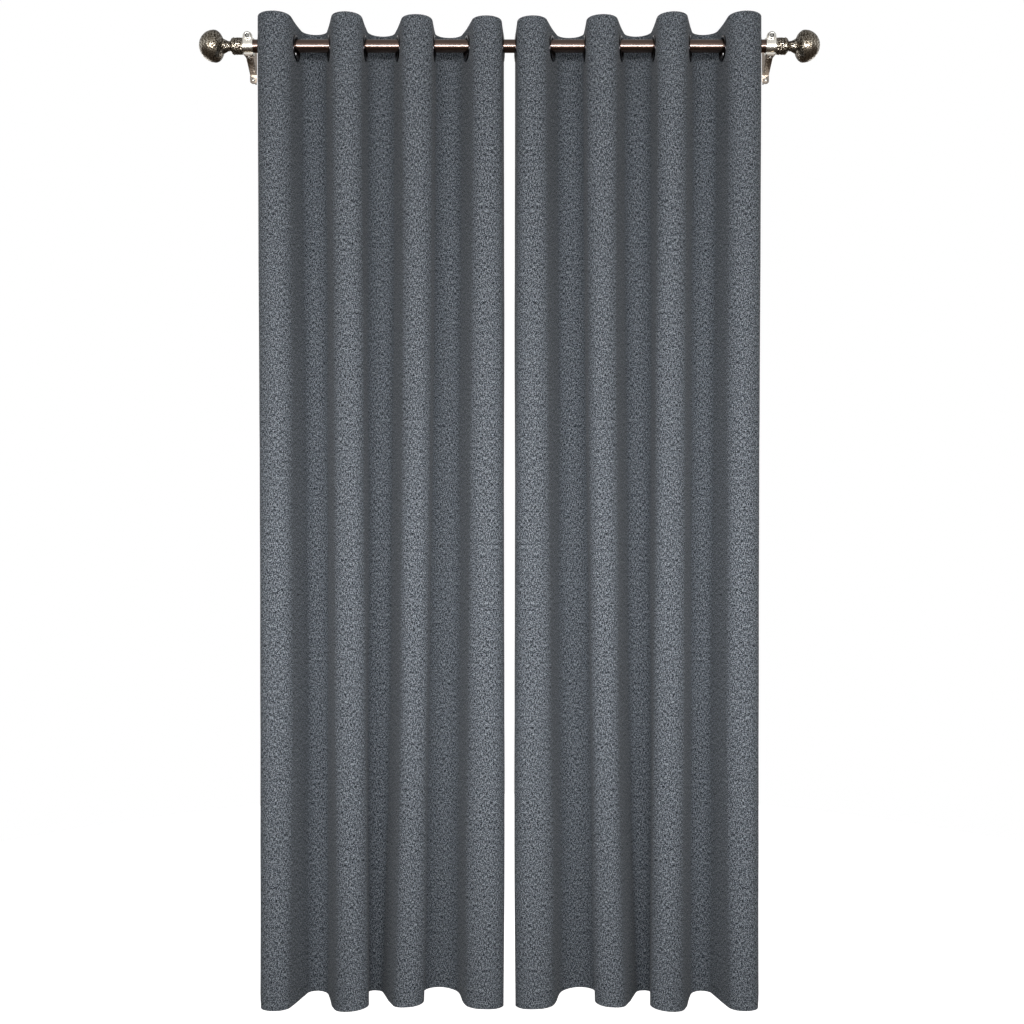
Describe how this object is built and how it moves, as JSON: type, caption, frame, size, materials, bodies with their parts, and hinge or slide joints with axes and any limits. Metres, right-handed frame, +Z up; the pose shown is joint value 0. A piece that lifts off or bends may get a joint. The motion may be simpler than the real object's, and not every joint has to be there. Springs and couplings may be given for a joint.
{
  "type": "grommet curtain panel pair on a telescopic rod",
  "caption": "Pair of pleated linen-look curtain panels with grommet rings, hung on a telescopic rod with ball finials and two wall brackets.",
  "frame": {"origin": "on the wall plane, at the height of the rod's axis, midway between the two brackets", "axes": "+X along the rod to the right seen from the room, +Y from the room into the wall, +Z up"},
  "size_m": [1.35, 0.1986, 2.134],
  "materials": {
    "slate_linen_cloth": "slate grey melange linen-look weave, matte",
    "white_buckram": "stiff off-white woven buckram",
    "black_nickel_ring": "black nickel plate, polished",
    "pewter_bronze_tube": "dark pewter-bronze lacquer on steel, satin",
    "satin_nickel_bracket": "satin nickel plated steel strap",
    "steel_screw": "nickel plated steel, turned",
    "antique_pewter_casting": "cast resin with a rubbed antique pewter finish",
    "antique_pewter_stamping": "pierced stamped metal, antique pewter finish",
    "dark_plug_plastic": "moulded black nylon"
  },
  "bodies": {
    "rod_and_brackets": {"left_bracket_arm": "satin_nickel_bracket", "left_bracket_cradle": "satin_nickel_bracket", "left_cradle_screw": "steel_screw", "left_fabric": "slate_linen_cloth", "left_header_stiffener": "white_buckram", "left_wall_screw_lower": "steel_screw", "left_wall_screw_upper": "steel_screw", "outer_tube": "pewter_bronze_tube", "right_bracket_arm": "satin_nickel_bracket", "right_bracket_cradle": "satin_nickel_bracket", "right_cradle_screw": "steel_screw", "right_fabric": "slate_linen_cloth", "right_header_stiffener": "white_buckram", "right_wall_screw_lower": "steel_screw", "right_wall_screw_upper": "steel_screw"},
    "inner_tube": {"inner_tube": "pewter_bronze_tube"},
    "left_finial": {"left_finial_ball": "antique_pewter_casting", "left_finial_collar": "antique_pewter_stamping", "left_finial_neck": "antique_pewter_casting", "left_finial_plug": "dark_plug_plastic"},
    "left_retaining_screw": {"left_retaining_screw": "steel_screw"},
    "left_ring_1": {"left_ring_1_front": "black_nickel_ring", "left_ring_1_back": "black_nickel_ring"},
    "left_ring_2": {"left_ring_2_front": "black_nickel_ring", "left_ring_2_back": "black_nickel_ring"},
    "left_ring_3": {"left_ring_3_front": "black_nickel_ring", "left_ring_3_back": "black_nickel_ring"},
    "left_ring_4": {"left_ring_4_front": "black_nickel_ring", "left_ring_4_back": "black_nickel_ring"},
    "left_ring_5": {"left_ring_5_front": "black_nickel_ring", "left_ring_5_back": "black_nickel_ring"},
    "left_ring_6": {"left_ring_6_front": "black_nickel_ring", "left_ring_6_back": "black_nickel_ring"},
    "left_ring_7": {"left_ring_7_front": "black_nickel_ring", "left_ring_7_back": "black_nickel_ring"},
    "left_ring_8": {"left_ring_8_front": "black_nickel_ring", "left_ring_8_back": "black_nickel_ring"},
    "right_finial": {"right_finial_ball": "antique_pewter_casting", "right_finial_collar": "antique_pewter_stamping", "right_finial_neck": "antique_pewter_casting", "right_finial_plug": "dark_plug_plastic"},
    "right_retaining_screw": {"right_retaining_screw": "steel_screw"},
    "right_ring_1": {"right_ring_1_front": "black_nickel_ring", "right_ring_1_back": "black_nickel_ring"},
    "right_ring_2": {"right_ring_2_front": "black_nickel_ring", "right_ring_2_back": "black_nickel_ring"},
    "right_ring_3": {"right_ring_3_front": "black_nickel_ring", "right_ring_3_back": "black_nickel_ring"},
    "right_ring_4": {"right_ring_4_front": "black_nickel_ring", "right_ring_4_back": "black_nickel_ring"},
    "right_ring_5": {"right_ring_5_front": "black_nickel_ring", "right_ring_5_back": "black_nickel_ring"},
    "right_ring_6": {"right_ring_6_front": "black_nickel_ring", "right_ring_6_back": "black_nickel_ring"},
    "right_ring_7": {"right_ring_7_front": "black_nickel_ring", "right_ring_7_back": "black_nickel_ring"},
    "right_ring_8": {"right_ring_8_front": "black_nickel_ring", "right_ring_8_back": "black_nickel_ring"}
  },
  "joints": [
    {"name": "inner_tube_slide", "type": "slide", "parent": "rod_and_brackets", "child": "inner_tube", "axis": [1, 0, 0], "range_m": [0, 0.9]},
    {"name": "left_finial_pull", "type": "slide", "parent": "rod_and_brackets", "child": "left_finial", "axis": [-1, 0, 0], "range_m": [0, 0.035]},
    {"name": "right_finial_pull", "type": "slide", "parent": "inner_tube", "child": "right_finial", "axis": [1, 0, 0], "range_m": [0, 0.035]},
    {"name": "left_retaining_screw_turn", "type": "hinge", "parent": "rod_and_brackets", "child": "left_retaining_screw", "pos_m": [-0.567, -0.09478, 0.0166], "axis": [0, -1, 0], "continuous": true},
    {"name": "left_panel_draw", "type": "slide", "parent": "rod_and_brackets", "child": "left_ring_8", "axis": [-1, 0, 0], "range_m": [0, 0.2645], "deforming": ["left_fabric", "left_header_stiffener"]},
    {"name": "left_ring_1_slide", "type": "slide", "parent": "rod_and_brackets", "child": "left_ring_1", "axis": [-1, 0, 0], "range_m": [0, 0.00203]},
    {"name": "left_ring_2_slide", "type": "slide", "parent": "rod_and_brackets", "child": "left_ring_2", "axis": [-1, 0, 0], "range_m": [0, 0.03953]},
    {"name": "left_ring_3_slide", "type": "slide", "parent": "rod_and_brackets", "child": "left_ring_3", "axis": [-1, 0, 0], "range_m": [0, 0.07703]},
    {"name": "left_ring_4_slide", "type": "slide", "parent": "rod_and_brackets", "child": "left_ring_4", "axis": [-1, 0, 0], "range_m": [0, 0.11452]},
    {"name": "left_ring_5_slide", "type": "slide", "parent": "rod_and_brackets", "child": "left_ring_5", "axis": [-1, 0, 0], "range_m": [0, 0.15202]},
    {"name": "left_ring_6_slide", "type": "slide", "parent": "rod_and_brackets", "child": "left_ring_6", "axis": [-1, 0, 0], "range_m": [0, 0.18952]},
    {"name": "left_ring_7_slide", "type": "slide", "parent": "rod_and_brackets", "child": "left_ring_7", "axis": [-1, 0, 0], "range_m": [0, 0.22701]},
    {"name": "right_retaining_screw_turn", "type": "hinge", "parent": "rod_and_brackets", "child": "right_retaining_screw", "pos_m": [0.567, -0.09478, 0.0166], "axis": [0, -1, 0], "continuous": true},
    {"name": "right_panel_draw", "type": "slide", "parent": "rod_and_brackets", "child": "right_ring_8", "axis": [1, 0, 0], "range_m": [0, 0.2645], "deforming": ["right_fabric", "right_header_stiffener"]},
    {"name": "right_ring_1_slide", "type": "slide", "parent": "rod_and_brackets", "child": "right_ring_1", "axis": [1, 0, 0], "range_m": [0, 0.00203]},
    {"name": "right_ring_2_slide", "type": "slide", "parent": "rod_and_brackets", "child": "right_ring_2", "axis": [1, 0, 0], "range_m": [0, 0.03953]},
    {"name": "right_ring_3_slide", "type": "slide", "parent": "rod_and_brackets", "child": "right_ring_3", "axis": [1, 0, 0], "range_m": [0, 0.07703]},
    {"name": "right_ring_4_slide", "type": "slide", "parent": "rod_and_brackets", "child": "right_ring_4", "axis": [1, 0, 0], "range_m": [0, 0.11452]},
    {"name": "right_ring_5_slide", "type": "slide", "parent": "rod_and_brackets", "child": "right_ring_5", "axis": [1, 0, 0], "range_m": [0, 0.15202]},
    {"name": "right_ring_6_slide", "type": "slide", "parent": "rod_and_brackets", "child": "right_ring_6", "axis": [1, 0, 0], "range_m": [0, 0.18952]},
    {"name": "right_ring_7_slide", "type": "slide", "parent": "rod_and_brackets", "child": "right_ring_7", "axis": [1, 0, 0], "range_m": [0, 0.22701]}
  ],
  "couplings": [
    {"joint": "left_ring_1_slide", "follows": "left_panel_draw", "ratio": 0.007655},
    {"joint": "left_ring_2_slide", "follows": "left_panel_draw", "ratio": 0.14942},
    {"joint": "left_ring_3_slide", "follows": "left_panel_draw", "ratio": 0.29118},
    {"joint": "left_ring_4_slide", "follows": "left_panel_draw", "ratio": 0.43295},
    {"joint": "left_ring_5_slide", "follows": "left_panel_draw", "ratio": 0.57471},
    {"joint": "left_ring_6_slide", "follows": "left_panel_draw", "ratio": 0.71647},
    {"joint": "left_ring_7_slide", "follows": "left_panel_draw", "ratio": 0.85824},
    {"joint": "right_ring_1_slide", "follows": "right_panel_draw", "ratio": 0.007655},
    {"joint": "right_ring_2_slide", "follows": "right_panel_draw", "ratio": 0.14942},
    {"joint": "right_ring_3_slide", "follows": "right_panel_draw", "ratio": 0.29118},
    {"joint": "right_ring_4_slide", "follows": "right_panel_draw", "ratio": 0.43295},
    {"joint": "right_ring_5_slide", "follows": "right_panel_draw", "ratio": 0.57471},
    {"joint": "right_ring_6_slide", "follows": "right_panel_draw", "ratio": 0.71647},
    {"joint": "right_ring_7_slide", "follows": "right_panel_draw", "ratio": 0.85824}
  ]
}
